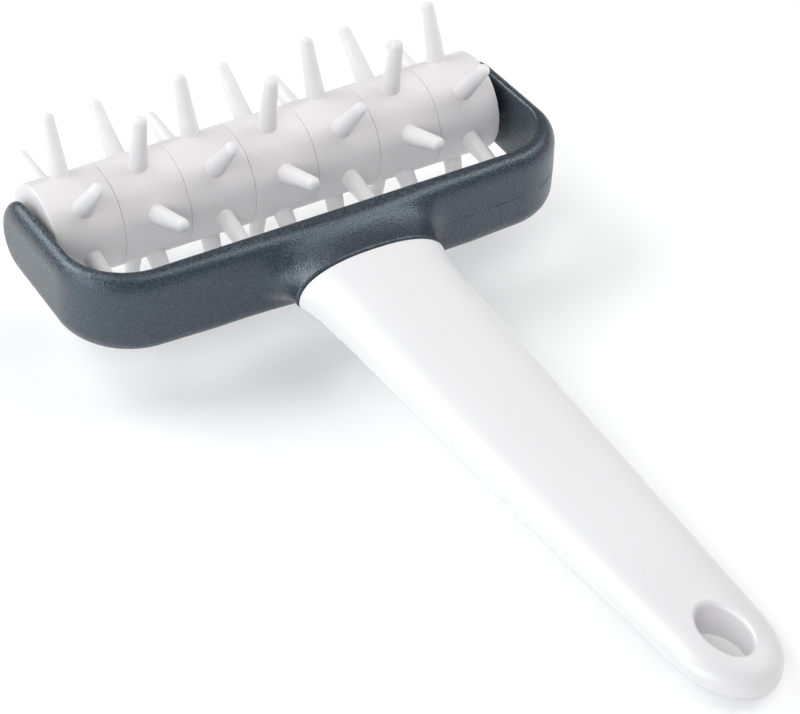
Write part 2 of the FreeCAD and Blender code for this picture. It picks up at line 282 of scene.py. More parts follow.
@dataclass(frozen=True)
class GrainedPlastic:
    """Dark plastic with the fine grain of a spark-eroded mould and a faint mould line."""

    name: str
    axis: tuple
    slope: float
    deep: tuple = (0.008, 0.016, 0.022)
    # Light tone of the grain flecks: partly the grain's own tone, partly painted glints of the grain
    grain_fleck_and_glint: tuple = (0.046, 0.061, 0.077)
    rubbed: tuple = (0.10, 0.122, 0.142)
    grain_mm: float = 0.36
    grain_levels: tuple = (0.47, 0.70)
    grain_shade: float = 0.80
    grain_depth_mm: float = 0.12
    cell_share: float = 0.25
    cloud_mm: float = 14.0
    cloud_shade: float = 0.15
    edge_levels: tuple = (0.505, 0.56)
    rub_mm: float = 5.0
    rub_levels: tuple = (0.35, 0.70)
    rub_shade: float = 0.30
    line_mm: tuple = (0.10, 0.30)
    line_start_mm: tuple = (19.0, 34.0)
    line_gap_mm: float = 6.0
    line_gap_levels: tuple = (0.36, 0.56)
    line_shade: float = 0.7
    line_depth: float = 1.5
    gloss: float = 0.30
    gloss_grain: float = 0.22
    gloss_cloud: float = 0.06
    gloss_rub: float = 0.03
    gloss_line: float = 0.3
    bending: float = 1.58
    shine: float = 0.80
    shine_tint: tuple = (0.77, 0.88, 1.0, 1.0)

    def mould_line(self, coat: Coating) -> Value:
        """Mask of the broken line where the halves of the mould met."""
        square = (0.0, -math.sin(self.slope), math.cos(self.slope))
        level = sum(place * share for place, share in zip(self.axis, square))
        height = abs(coat.along(coat.place, square) - level) / MM
        near = 1.0 - coat.ramp(height, *self.line_mm)
        right = coat.ramp(coat.along(coat.place, RIGHT) / MM, *self.line_start_mm)
        return near * right * coat.ramp(coat.noise(self.line_gap_mm, detail=1.0), *self.line_gap_levels)

    def material(self) -> bpy.types.Material:
        """Build the node material."""
        coat = Coating(self.name)
        fine = coat.noise(self.grain_mm, detail=1.0)
        cloud = coat.noise(self.cloud_mm, detail=3.0)
        line = self.mould_line(coat)
        grain = coat.cells(self.grain_mm) * self.cell_share + fine - line * self.line_depth
        patches = coat.ramp(coat.noise(self.rub_mm, detail=4.0), *self.rub_levels)
        rub = coat.edges(*self.edge_levels) * patches
        # Sparse light flecks of the grain: partly real grain tone, partly painted glints
        shade = self.grain_shade * coat.ramp(fine, *self.grain_levels) + cloud * self.cloud_shade
        body = coat.blend(shade, self.deep, self.grain_fleck_and_glint)
        colour = coat.blend(rub * self.rub_shade, body, self.rubbed)
        rough = self.gloss + (fine - MEAN) * self.gloss_grain + (cloud - MEAN) * self.gloss_cloud
        return coat.dress(
            Base_Color=coat.blend(line * self.line_shade, colour, self.deep),
            Roughness=rough - rub * self.gloss_rub + line * self.gloss_line,
            Normal=coat.bump(grain, self.grain_depth_mm, 1.0),
            IOR=self.bending,
            Specular_IOR_Level=self.shine,
            Specular_Tint=self.shine_tint,
        )


@dataclass(frozen=True)
class SatinPlastic:
    """Light moulded plastic with faint flow marks and signs of handling."""

    name: str
    light: tuple = (0.81, 0.803, 0.81)
    dull: tuple = (0.78, 0.773, 0.78)
    gloss: float = 0.37
    shine: float = 0.5
    stretch: tuple = (1, 9, 1)
    flow_mm: float = 22.0
    speck_mm: float = 0.5
    speck_share: float = 0.3
    tone_levels: tuple = (0.36, 0.66)
    wear_mm: float = 2.6
    gloss_flow: float = 0.06
    gloss_speck: float = 0.03
    gloss_wear: float = 0.06
    peel_mm: float = 1.6
    peel_depth_mm: float = 0.008
    peel_speck: float = 0.10
    peel_strength: float = 0.5

    def toned(self, coat: Coating, colour: Value) -> Value:
        """Colour with the piece's own change of tone, none on a plain piece."""
        return colour

    def material(self) -> bpy.types.Material:
        """Build the node material."""
        coat = Coating(self.name)
        flow = coat.noise(self.flow_mm, detail=3.0, stretch=self.stretch)
        speck = coat.noise(self.speck_mm, detail=2.0)
        wear = coat.noise(self.wear_mm, detail=4.0, stretch=self.stretch)
        peel = coat.noise(self.peel_mm, detail=2.0)
        mottle = flow * (1 - self.speck_share) + speck * self.speck_share
        colour = coat.blend(coat.ramp(mottle, *self.tone_levels), self.dull, self.light)
        rough = self.gloss + (flow - MEAN) * self.gloss_flow + (speck - MEAN) * self.gloss_speck
        return coat.dress(
            Base_Color=self.toned(coat, colour),
            Roughness=rough + (wear - MEAN) * self.gloss_wear,
            Normal=coat.bump(peel + speck * self.peel_speck, self.peel_depth_mm, self.peel_strength),
            Specular_IOR_Level=self.shine,
        )


@dataclass(frozen=True)
class RollerPlastic(SatinPlastic):
    """Satin plastic of the roller, with painted light that makes the thin spikes lighter than the drum."""

    light: tuple = (0.805, 0.785, 0.787)
    dull: tuple = (0.765, 0.744, 0.746)
    gloss: float = 0.38
    shine: float = 0.12
    stretch: tuple = (3, 1, 1)
    axis: tuple = (0.0, 0.0, 0.0)
    # Painted light: lighter tone of the spikes, which makes them look brighter than the drum
    spike: tuple = (0.82, 0.81, 0.81)
    painted_spike_light_mm: tuple = (11.1, 13.9)

    def toned(self, coat: Coating, colour: Value) -> Value:
        """Colour with painted light that turns lighter from the foot of a spike outwards."""
        across = coat.along(coat.place, BACK) - self.axis[1]
        above = coat.along(coat.place, UP) - self.axis[2]
        radius = (across ** 2 + above ** 2) ** 0.5 / MM
        # Painted light: blend from the drum's tone towards the lighter spike tone
        return coat.blend(coat.ramp(radius, *self.painted_spike_light_mm), colour, self.spike)


@dataclass(frozen=True)
class HandlePlastic(SatinPlastic):
    """Satin plastic of the handle, with painted shade that darkens the end that hangs on a hook."""

    axis: tuple = (0.0, 0.0, 0.0)
    # Painted shade: darker tone of the handle's end, where the light falls off
    end: tuple = (0.71, 0.695, 0.702)
    painted_tip_shade_mm: tuple = (130.0, 176.0)

    def toned(self, coat: Coating, colour: Value) -> Value:
        """Colour with painted shade that darkens with the way from the roller's axis."""
        along = (self.axis[1] - coat.along(coat.place, BACK)) / MM
        # Painted shade: blend towards the darker end tone
        return coat.blend(coat.ramp(along, *self.painted_tip_shade_mm), colour, self.end)


@dataclass(frozen=True)
class PaleFloor:
    """Matt white table top of the studio."""

    name: str
    tone: float = 0.93
    cloud_mm: float = 180.0
    cloud_tone: float = 0.985
    gloss: float = 0.62
    gloss_cloud: float = 0.05
    glow: float = 0.11

    def material(self) -> bpy.types.Material:
        """Build the node material."""
        coat = Coating(self.name)
        cloud = coat.noise(self.cloud_mm, detail=2.0)
        low = (self.tone * self.cloud_tone,) * 3
        high = (self.tone,) * 3
        return coat.dress(
            Base_Color=coat.blend(cloud, low, high),
            Roughness=self.gloss + (cloud - MEAN) * self.gloss_cloud,
            Emission_Color=(*WHITE, 1.0),
            Emission_Strength=self.glow,
        )


@dataclass
class Mesh:
    """Points and the faces between them."""

    points: list = field(default_factory=list)
    faces: list = field(default_factory=list)

    def tube(self, loops: Sequence[np.ndarray], ring: bool = False) -> "Mesh":
        """Add a skin through closed loops of the same number of points.

        Args:
            loops: Loops of points in order.
            ring: Whether the last loop joins the first one, instead of a face closing each.

        Returns:
            This mesh.
        """
        base = len(self.points)
        count = len(loops[0])
        for loop in loops:
            self.points.extend(np.asarray(loop, float).tolist())
        rows = len(loops) if ring else len(loops) - 1
        for row in range(rows):
            low = base + row * count
            high = base + (row + 1) % len(loops) * count
            for i in range(count):
                j = (i + 1) % count
                self.faces.append((low + i, low + j, high + j, high + i))
        if not ring:
            last = base + (len(loops) - 1) * count
            self.faces.append(tuple(range(base + count - 1, base - 1, -1)))
            self.faces.append(tuple(range(last, last + count)))
        return self

    def box(self, low: Sequence[float], high: Sequence[float]) -> "Mesh":
        """Add a plain block between two corners, for cutting."""
        outline = [(low[0], low[1]), (high[0], low[1]), (high[0], high[1]), (low[0], high[1])]
        loops = [np.array([(x, y, z) for x, y in outline]) for z in (low[2], high[2])]
        return self.tube(loops)

    def object(self, name: str, matrix: Matrix) -> bpy.types.Object:
        """Make a Blender object.

        Args:
            name: Name of the object.
            matrix: Matrix from the points to metres of the row.

        Returns:
            The new object, with its place in its mesh.
        """
        data = bpy.data.meshes.new(name)
        data.from_pydata(self.points, [], self.faces)
        data.transform(matrix)
        data.update()
        piece = bpy.data.objects.new(name, data)
        bpy.context.scene.collection.objects.link(piece)
        fix_normals(piece)
        return piece


def fix_normals(piece: bpy.types.Object) -> None:
    """Turn the faces of a closed mesh outwards."""
    work = bmesh.new()
    work.from_mesh(piece.data)
    bmesh.ops.remove_doubles(work, verts=work.verts, dist=MERGE_DISTANCE)
    bmesh.ops.recalc_face_normals(work, faces=work.faces)
    work.to_mesh(piece.data)
    work.free()


def bake(piece: bpy.types.Object) -> None:
    """Replace the mesh of a piece by the result of its modifiers."""
    graph = bpy.context.evaluated_depsgraph_get()
    made = bpy.data.meshes.new_from_object(piece.evaluated_get(graph))
    old = piece.data
    piece.modifiers.clear()
    piece.data = made
    bpy.data.meshes.remove(old)


def combine(piece: bpy.types.Object, other: bpy.types.Object, how: Cut) -> None:
    """Join another closed mesh to a piece or take it away, and remove the other.

    Args:
        piece: Piece that is changed.
        other: Mesh that is used up.
        how: Way to combine them.
    """
    step = piece.modifiers.new("combine", "BOOLEAN")
    step.operation = how.value
    step.solver = "EXACT"
    step.object = other
    bake(piece)
    bpy.data.objects.remove(other)


def smooth(piece: bpy.types.Object, angle: float) -> None:
    """Shade a piece smooth, with creases above an angle in degrees."""
    piece.data.shade_smooth()
    piece.data.set_sharp_from_angle(angle=math.radians(angle))


def finish_piece(
    piece: bpy.types.Object,
    finish: bpy.types.Material,
    body: Body,
    nodes: Sequence[str],
) -> None:
    """Dress a piece and hang it on its body.

    Args:
        piece: Piece in its place.
        finish: Material of the piece.
        body: Body that it rides on.
        nodes: Nodes that it stands for.
    """
    piece.data.materials.clear()
    piece.data.materials.append(finish)
    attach(piece, body.value)
    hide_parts(*nodes)
    LOG.info("piece %s rides on %s with %d faces", piece.name, body.value, len(piece.data.polygons))


def around(count: int) -> np.ndarray:
    """Angles of evenly spread points round a full turn."""
    return np.linspace(0, 2 * np.pi, count, endpoint=False)


def quarter(steps: int) -> list:
    """Pairs of cosine and sine through a quarter turn, with both ends."""
    turns = [math.pi / 2 * step / steps for step in range(steps + 1)]
    return [(math.cos(turn), math.sin(turn)) for turn in turns]


def oval(
    half_width: float,
    crown: float,
    under: float,
    top_power: float,
    low_power: float,
    count: int,
) -> np.ndarray:
    """Points of an oval with its own height and fullness above and below the middle.

    Args:
        half_width: Half of the width.
        crown: Height above the middle.
        under: Depth below the middle.
        top_power: Fullness of the upper half, 2 for an ellipse.
        low_power: Fullness of the lower half.
        count: Number of points.

    Returns:
        Pairs of x and z.
    """
    turn = around(count)
    cosine, sine = np.cos(turn), np.sin(turn)
    upper = sine >= -ROUNDING
    power = np.where(upper, top_power, low_power)
    height = np.where(upper, crown, under)
    x = np.sign(cosine) * half_width * np.abs(cosine) ** (2 / power)
    z = np.sign(sine) * height * np.abs(sine) ** (2 / power)
    return np.stack([x, z], 1)


@dataclass(frozen=True)
class Pose:
    """Where the tool lies in the row: roller axis, slope of the tool and turn of the roller."""

    axis: tuple
    slope: float
    turn: float

    @classmethod
    def from_record(cls, record: dict, spikes: int) -> "Pose":
        """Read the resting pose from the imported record.

        Args:
            record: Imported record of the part.
            spikes: Number of spikes round a ring.

        Returns:
            The pose.
        """
        joint = record["behaviour"]["joints"][0]
        hole = record["mounts"][0]["axis"]
        quarter_pitch = 2 * math.pi / spikes / 4
        return cls(tuple(joint["pos_m"]), math.atan2(-hole[1], hole[2]), -quarter_pitch)

    def matrix(self, body: Body) -> Matrix:
        """Matrix from millimetres about the roller axis to the row."""
        angle = self.slope if body is Body.FRAME else self.turn
        return Matrix.Translation(self.axis) @ Matrix.Rotation(angle, 4, "X") @ Matrix.Scale(MM, 4)


@dataclass(frozen=True)
class Grip:
    """Oval handle with its hanging hole and the socket for the tang.

    Sizes are in millimetres. A station is a distance from the roller axis along the handle.
    """

    mouth: float = 45.05
    length: float = 130.3
    mouth_width: float = 34.0
    mouth_crown: float = 7.7
    mouth_under: float = 6.3
    flare: float = 1.5
    flare_length: float = 4.5
    lip: float = 0.5
    waist_crown: float = 4.6
    crown_fade: float = 26.0
    under_fade: float = 11.0
    tip_width: float = 18.4
    tip_thickness: float = 8.4
    tip_length: float = 14.5
    bow: float = 1.25
    top_power: float = 2.3
    low_power: float = 1.8
    plan_power: float = 2.2
    side_power: float = 3.0
    hole_width: float = 7.9
    hole_length: float = 13.2
    hole_from_tip: float = 12.5
    hole_round: float = 1.2
    hole_flare: tuple = ((1.2, 2.2), (0.35, 1.25))
    hole_skim: float = 0.03
    socket: tuple = ((24.2, 7.6, 10.0), (15.2, 5.8, 64.2))
    crease: float = 38.0
    sides: int = 120
    lip_steps: int = 6
    body_steps: int = 70
    body_crowding: float = 1.35
    tip_steps: int = 36
    rim_steps: int = 8
    hole_sides: int = 96

    def half_width(self, station: float) -> float:
        """Half width before the tip is rounded off."""
        along = max(station - self.mouth, 0)
        waist = self.mouth_width / 2 - self.flare
        taper = (waist - self.tip_width / 2) * (along / self.length) ** self.bow
        return waist - taper + self.flare * math.exp(-along / self.flare_length)

    def crown(self, station: float) -> float:
        """Height of the top above the middle before the tip is rounded off."""
        along = max(station - self.mouth, 0)
        base = self.waist_crown + (self.tip_thickness / 2 - self.waist_crown) * along / self.length
        return base + (self.mouth_crown - self.waist_crown) * math.exp(-along / self.crown_fade)

    def under(self, station: float) -> float:
        """Depth of the underside below the middle before the tip is rounded off."""
        along = max(station - self.mouth, 0)
        base = self.tip_thickness / 2
        return base + (self.mouth_under - base) * math.exp(-along / self.under_fade)

    def fade(self, station: float, power: float) -> float:
        """Share of the full section that is left in the rounded tip."""
        share = min(max(station - self.mouth - self.length + self.tip_length, 0) / self.tip_length, 1)
        return (1 - share ** power) ** (1 / power)

    def section(self, station: float, inset: float = 0.0) -> np.ndarray:
        """Closed loop of the outside at a station, drawn in by an inset."""
        plan, side = self.fade(station, self.plan_power), self.fade(station, self.side_power)
        sizes = (self.half_width(station) * plan, self.crown(station) * side, self.under(station) * side)
        pairs = oval(*[size - inset for size in sizes], self.top_power, self.low_power, self.sides)
        return np.stack([pairs[:, 0], np.full(self.sides, -station), pairs[:, 1]], 1)

    def outside(self) -> Mesh:
        """Skin of the handle from the lip at the mouth to the tip."""
        loops = []
        for cosine, sine in reversed(quarter(self.lip_steps)):
            loops.append(self.section(self.mouth + self.lip * (1 - sine), self.lip * (1 - cosine)))
        first = self.mouth + self.lip
        last = self.mouth + self.length - self.tip_length
        for step in range(1, self.body_steps + 1):
            share = (step / self.body_steps) ** self.body_crowding
            loops.append(self.section(first + (last - first) * share))
        for cosine, sine in quarter(self.tip_steps)[1:-1]:
            loops.append(self.section(last + self.tip_length * sine))
        return Mesh().tube(loops)

    def skin(self, x: float, station: float, upper: bool) -> float:
        """Height of the top, or depth of the underside, at a spot beside the middle."""
        size = (self.crown if upper else self.under)(station) * self.fade(station, self.side_power)
        power = self.top_power if upper else self.low_power
        share = abs(x) / (self.half_width(station) * self.fade(station, self.plan_power))
        return size * (1 - min(share, 1) ** power) ** (1 / power)

    def hole(self) -> Mesh:
        """Cutter for the hanging hole, with rounded rims that follow the skin."""
        centre = self.mouth + self.length - self.hole_from_tip
        rim = [(self.hole_round * rise, self.hole_round * spread) for rise, spread in self.hole_flare]
        for cosine, sine in quarter(self.rim_steps):
            rim.append((self.hole_skim - self.hole_round * (1 - cosine), self.hole_round * (1 - sine)))
        edges = [(False, edge) for edge in rim] + [(True, edge) for edge in reversed(rim)]
        loops = []
        for upper, (rise, spread) in edges:
            half_length = self.hole_length / 2 + spread
            sizes = (self.hole_width / 2 + spread, half_length, half_length)
            pairs = oval(*sizes, ELLIPSE, ELLIPSE, self.hole_sides)
            heights = np.array([self.skin(x, centre - y, upper) + rise for x, y in pairs])
            loops.append(np.stack([pairs[:, 0], pairs[:, 1] - centre, heights if upper else -heights], 1))
        return Mesh().tube(loops)

    def hollow(self) -> Mesh:
        """Cutter for the stepped socket."""
        (wide, thick, depth), (slim, thin, deep) = self.socket
        stops = [(-MARGIN, wide, thick), (depth, wide, thick), (depth, slim, thin), (deep, slim, thin)]
        loops = [slot_loop(width, height, self.mouth + along) for along, width, height in stops]
        return Mesh().tube(loops)

    def build(self, matrix: Matrix) -> bpy.types.Object:
        """Make the handle as one closed mesh.

        Args:
            matrix: Matrix from the tool to the row.

        Returns:
            The handle.
        """
        piece = self.outside().object("grip", matrix)
        combine(piece, self.hole().object("hole_cutter", matrix), Cut.TAKE_AWAY)
        combine(piece, self.hollow().object("socket_cutter", matrix), Cut.TAKE_AWAY)
        smooth(piece, self.crease)
        return piece


def slot_loop(width: float, thickness: float, station: float) -> np.ndarray:
    """Closed loop of a bar with round sides at a station of the handle.

    Args:
        width: Full width of the bar.
        thickness: Thickness of the bar.
        station: Distance from the roller axis.

    Returns:
        The loop.
    """
    turn = around(BAR_SIDES) + np.pi / BAR_SIDES
    flat = (width - thickness) / 2
    x = np.sign(np.cos(turn)) * flat + thickness / 2 * np.cos(turn)
    z = thickness / 2 * np.sin(turn)
    return np.stack([x, np.full(BAR_SIDES, -station), z], 1)


def rounded(first: np.ndarray, second: np.ndarray, radius: float) -> np.ndarray:
    """Depth of the part common to two solids, with a rounded edge.

    Args:
        first: Depths in the first solid, negative inside.
        second: Depths in the second solid.
        radius: Radius of the edge between them.

    Returns:
        The depths in the common part.
    """
    near = np.hypot(np.maximum(first + radius, 0), np.maximum(second + radius, 0))
    return np.minimum(np.maximum(first, second), -radius) + near


def melted(first: np.ndarray, second: np.ndarray, reach: float) -> np.ndarray:
    """Depth of two joined solids with a soft fillet between them.

    Args:
        first: Depths in the first solid, negative inside.
        second: Depths in the second solid.
        reach: Distance over which they run together.

    Returns:
        The depths in the joined solid.
    """
    share = np.maximum(reach - np.abs(first - second), 0) / reach
    return np.minimum(first, second) - share ** 3 * reach / 6


@dataclass
class Skin:
    """Even mesh over the surface of a solid that is given by its depths."""

    depth: Callable[..., np.ndarray]
    low: tuple
    high: tuple
    step: float
    feel: float = 0.01
    least_slope: float = 0.05
    points: Optional[np.ndarray] = None
    quads: Optional[np.ndarray] = None

    def grown(self) -> "Skin":
        """Find the cells that the surface runs through and join their middles."""
        ends = zip(self.low, self.high)
        axes = [np.arange(start, end + self.step, self.step) for start, end in ends]
        inside = self.depth(*np.meshgrid(*axes, indexing="ij")) < 0
        cells = np.zeros([count - 1 for count in inside.shape], int)
        shifts = list(np.ndindex(2, 2, 2))
        for shift in shifts:
            cells += inside[tuple(slice(k, k + count) for k, count in zip(shift, cells.shape))]
        crossed = (cells > 0) & (cells < len(shifts))
        number = np.full(cells.shape, -1)
        number[crossed] = np.arange(crossed.sum())
        self.points = np.array(self.low) + (np.argwhere(crossed) + 0.5) * self.step
        quads = []
        for axis in range(3):
            change = np.argwhere(np.diff(inside.astype(int), axis=axis) != 0)
            one, two = np.eye(3, dtype=int)[[k for k in range(3) if k != axis]]
            meeting = [change - one - two, change - two, change, change - one]
            quads.append(np.stack([number[tuple(cell.T)] for cell in meeting], 1))
        self.quads = np.concatenate(quads)
        return self

    def settle(self, rounds: int) -> None:
        """Move every point square to the surface until it lies on it."""
        for _ in range(rounds):
            here = self.depth(*self.points.T)
            shifts = [self.points + self.feel * np.eye(3)[k] for k in range(3)]
            slope = np.stack([self.depth(*shifted.T) - here for shifted in shifts], 1) / self.feel
            push = here / np.maximum((slope ** 2).sum(1), self.least_slope)
            self.points -= slope * np.clip(push, -self.step, self.step)[:, None]

    def relax(self, rounds: int, share: Union[float, np.ndarray]) -> None:
        """Draw every point towards the middle of its neighbours.

        Args:
            rounds: Number of rounds.
            share: Share of the way, one for all points or one for each.
        """
        ends = np.concatenate([self.quads[:, [k, (k + 1) % 4]] for k in range(4)])
        ends = np.concatenate([ends, ends[:, ::-1]])
        here, there = ends.T
        size = len(self.points)
        count = np.bincount(here, minlength=size)
        pull = np.broadcast_to(share, size)[:, None]
        for _ in range(rounds):
            total = np.stack([np.bincount(here, self.points[there, k], size) for k in range(3)], 1)
            self.points += (total / count[:, None] - self.points) * pull

    def mesh(self) -> Mesh:
        """Points and faces for an object."""
        return Mesh(self.points.tolist(), self.quads.tolist())


@dataclass(frozen=True)
class Fork:
    """Yoke of the roller: arms, bosses, bar and the flared neck that meets the handle.

    Sizes are in millimetres. The plug and the tang have a width, a thickness and a depth.
    """

    grip: Grip
    height: float = 17.5
    end_height: float = 15.9
    arm_inner: float = 54.1
    arm: float = 3.3
    bar_inner: float = 31.1
    bar: float = 6.5
    slant: float = 2.6
    outer_corner: float = 15.3
    inner_corner: float = 13.2
    outer_round: float = 2.7
    round_rise: float = 1.4
    inner_round: float = 0.55
    boss_radius: float = 4.5
    boss_height: float = 1.3
    boss_round: float = 0.3
    boss_melt: float = 0.5
    bore_radius: float = 2.35
    bore_floor: float = 56.2
    neck: float = 7.1
    neck_flare: float = 4.5
    neck_dip: float = 0.35
    neck_inset: float = 0.16
    neck_squaring: float = 0.5
    neck_melt: float = 1.4
    collar_round: float = 0.25
    step: float = 0.42
    settling: int = 4
    evening: int = 3
    even_rounds: int = 2
    pull: float = 0.5
    crease_rounds: int = 60
    crease_across: tuple = ((12.0, 18.0, 24.0, 30.0), (0.45, 1.0, 1.0, 0.0))
    crease_along: tuple = ((-5.0, -1.5, 3.5, 6.3), (0.0, 1.0, 1.0, 0.0))
    plug: tuple = (24.0, 7.4, 9.9)
    tang: tuple = (15.0, 5.6, 64.0)
    web: float = 1.8
    rib: float = 2.0
    pockets: int = 4
    overlap: float = 0.2
    tang_crease: float = 30.0

    @property
    def neck_end(self) -> float:
        """Distance of the collar's face from the roller axis."""
        return self.bar_inner + self.bar + self.neck

    def band(self, x: np.ndarray, y: np.ndarray, z: np.ndarray) -> np.ndarray:
        """Depth in the arms and the bar, drafted to the mould line and tapering to the arm ends."""
        wide, high = np.abs(x), np.abs(z)
        taper = math.atan((self.height - self.end_height) / 2 / self.bar_inner)
        slant = math.radians(self.slant)
        ahead = y * math.cos(taper) - high * math.sin(taper)
        front = (wide * math.tan(slant) - ahead - self.bar_inner - self.bar) * math.cos(slant)
        outline = rounded(wide - self.arm_inner - self.arm, front, self.outer_corner)
        flat = high * math.cos(taper) + y * math.sin(taper)
        side = np.where(ahead > 0, np.hypot(y, z), flat) - self.end_height / 2
        bay = rounded(wide - self.arm_inner, -y - self.bar_inner, self.inner_corner)
        return rounded(rounded(outline, side / self.round_rise, self.outer_round), -bay, self.inner_round)

    def collar(self, x: np.ndarray, y: np.ndarray, z: np.ndarray) -> np.ndarray:
        """Depth in the neck that flares from the collar at the handle into the bar."""
        grip = self.grip
        start = self.bar_inner + self.bar / 2
        near = np.clip((self.neck_end + y) / self.neck, 0, 1)
        share = np.clip((-y - start) / (self.neck_end - start), 0, 1)
        half = grip.mouth_width / 2 + self.neck_flare * (1 - np.sqrt(1 - near ** 2))
        reach = self.height / 2 - self.neck_inset
        mouth = np.where(z > 0, grip.mouth_crown, grip.mouth_under)
        tall = mouth + (reach - mouth) * (1 - share) ** 2 - self.neck_dip * np.sin(np.pi * share)
        power = np.where(z > 0, grip.top_power + near * self.neck_squaring, grip.low_power)
        across, above = np.abs(x) / half + SMALL_SHARE, np.abs(z) / tall + SMALL_SHARE
        size = (across ** power + above ** power) ** (1 / power)
        slope = np.hypot((across / size) ** (power - 1) / half, (above / size) ** (power - 1) / tall)
        return rounded(np.maximum((size - 1) / slope, start + y), -y - self.neck_end, self.collar_round)

    def depth(self, x: np.ndarray, y: np.ndarray, z: np.ndarray) -> np.ndarray:
        """Depth in the whole yoke without its tang, negative inside."""
        wide, radius = np.abs(x), np.hypot(y, z)
        face = self.arm_inner - self.boss_height
        boss = rounded(radius - self.boss_radius, face - wide, self.boss_round)
        boss = np.maximum(boss, wide - self.arm_inner - self.arm / 2)
        body = melted(self.band(x, y, z), self.collar(x, y, z), self.neck_melt)
        body = melted(body, boss, self.boss_melt)
        return np.maximum(body, -np.maximum(radius - self.bore_radius, wide - self.bore_floor))

    def build(self, matrix: Matrix) -> bpy.types.Object:
        """Make the visible yoke as one closed mesh.

        Args:
            matrix: Matrix from the tool to the row.

        Returns:
            The yoke without its tang.
        """
        room = 2 * self.step
        reach, high = self.arm_inner + self.arm + room, self.height / 2 + MARGIN
        low, top = (-reach, -self.neck_end - room, -high), (reach, self.end_height / 2 + room, high)
        skin = Skin(self.depth, low, top, self.step).grown()
        skin.settle(self.settling)
        for _ in range(self.evening):
            skin.relax(self.even_rounds, self.pull)
            skin.settle(self.even_rounds)
        skin.relax(self.crease_rounds, self.pull * self.crease(skin.points))
        piece = skin.mesh().object("fork", matrix)
        piece.data.shade_smooth()
        return piece

    def crease(self, points: np.ndarray) -> np.ndarray:
        """Share of softening at each point, full in the crease between bar and neck."""
        front = self.bar_inner + self.bar
        places, shares = self.crease_along
        across = np.interp(np.abs(points[:, 0]), *self.crease_across)
        return across * np.interp(-points[:, 1], [front + place for place in places], shares)

    def root(self, matrix: Matrix) -> bpy.types.Object:
        """Make the plug and the ribbed tang that sit inside the handle.

        Args:
            matrix: Matrix from the tool to the row.

        Returns:
            The tang.
        """
        mouth = self.grip.mouth
        (wide, thick, depth), (slim, thin, deep) = self.plug, self.tang
        stops = [
            (self.neck_end - self.overlap, wide, thick),
            (mouth + depth, wide, thick),
            (mouth + depth, slim, thin),
            (mouth + deep, slim, thin),
        ]
        loops = [slot_loop(width, height, station) for station, width, height in stops]
        piece = Mesh().tube(loops).object("tang", matrix)
        pitch = (deep - depth - self.rib) / self.pockets
        half = (slim - thin) / 2
        cutter = Mesh()
        for k in range(self.pockets):
            near = mouth + depth + self.rib + k * pitch
            for low, high in ((self.web / 2, thin), (-thin, -self.web / 2)):
                cutter.box((-half, -(near + pitch - self.rib), low), (half, -near, high))
        combine(piece, cutter.object("pockets", matrix), Cut.TAKE_AWAY)
        smooth(piece, self.tang_crease)
        return piece


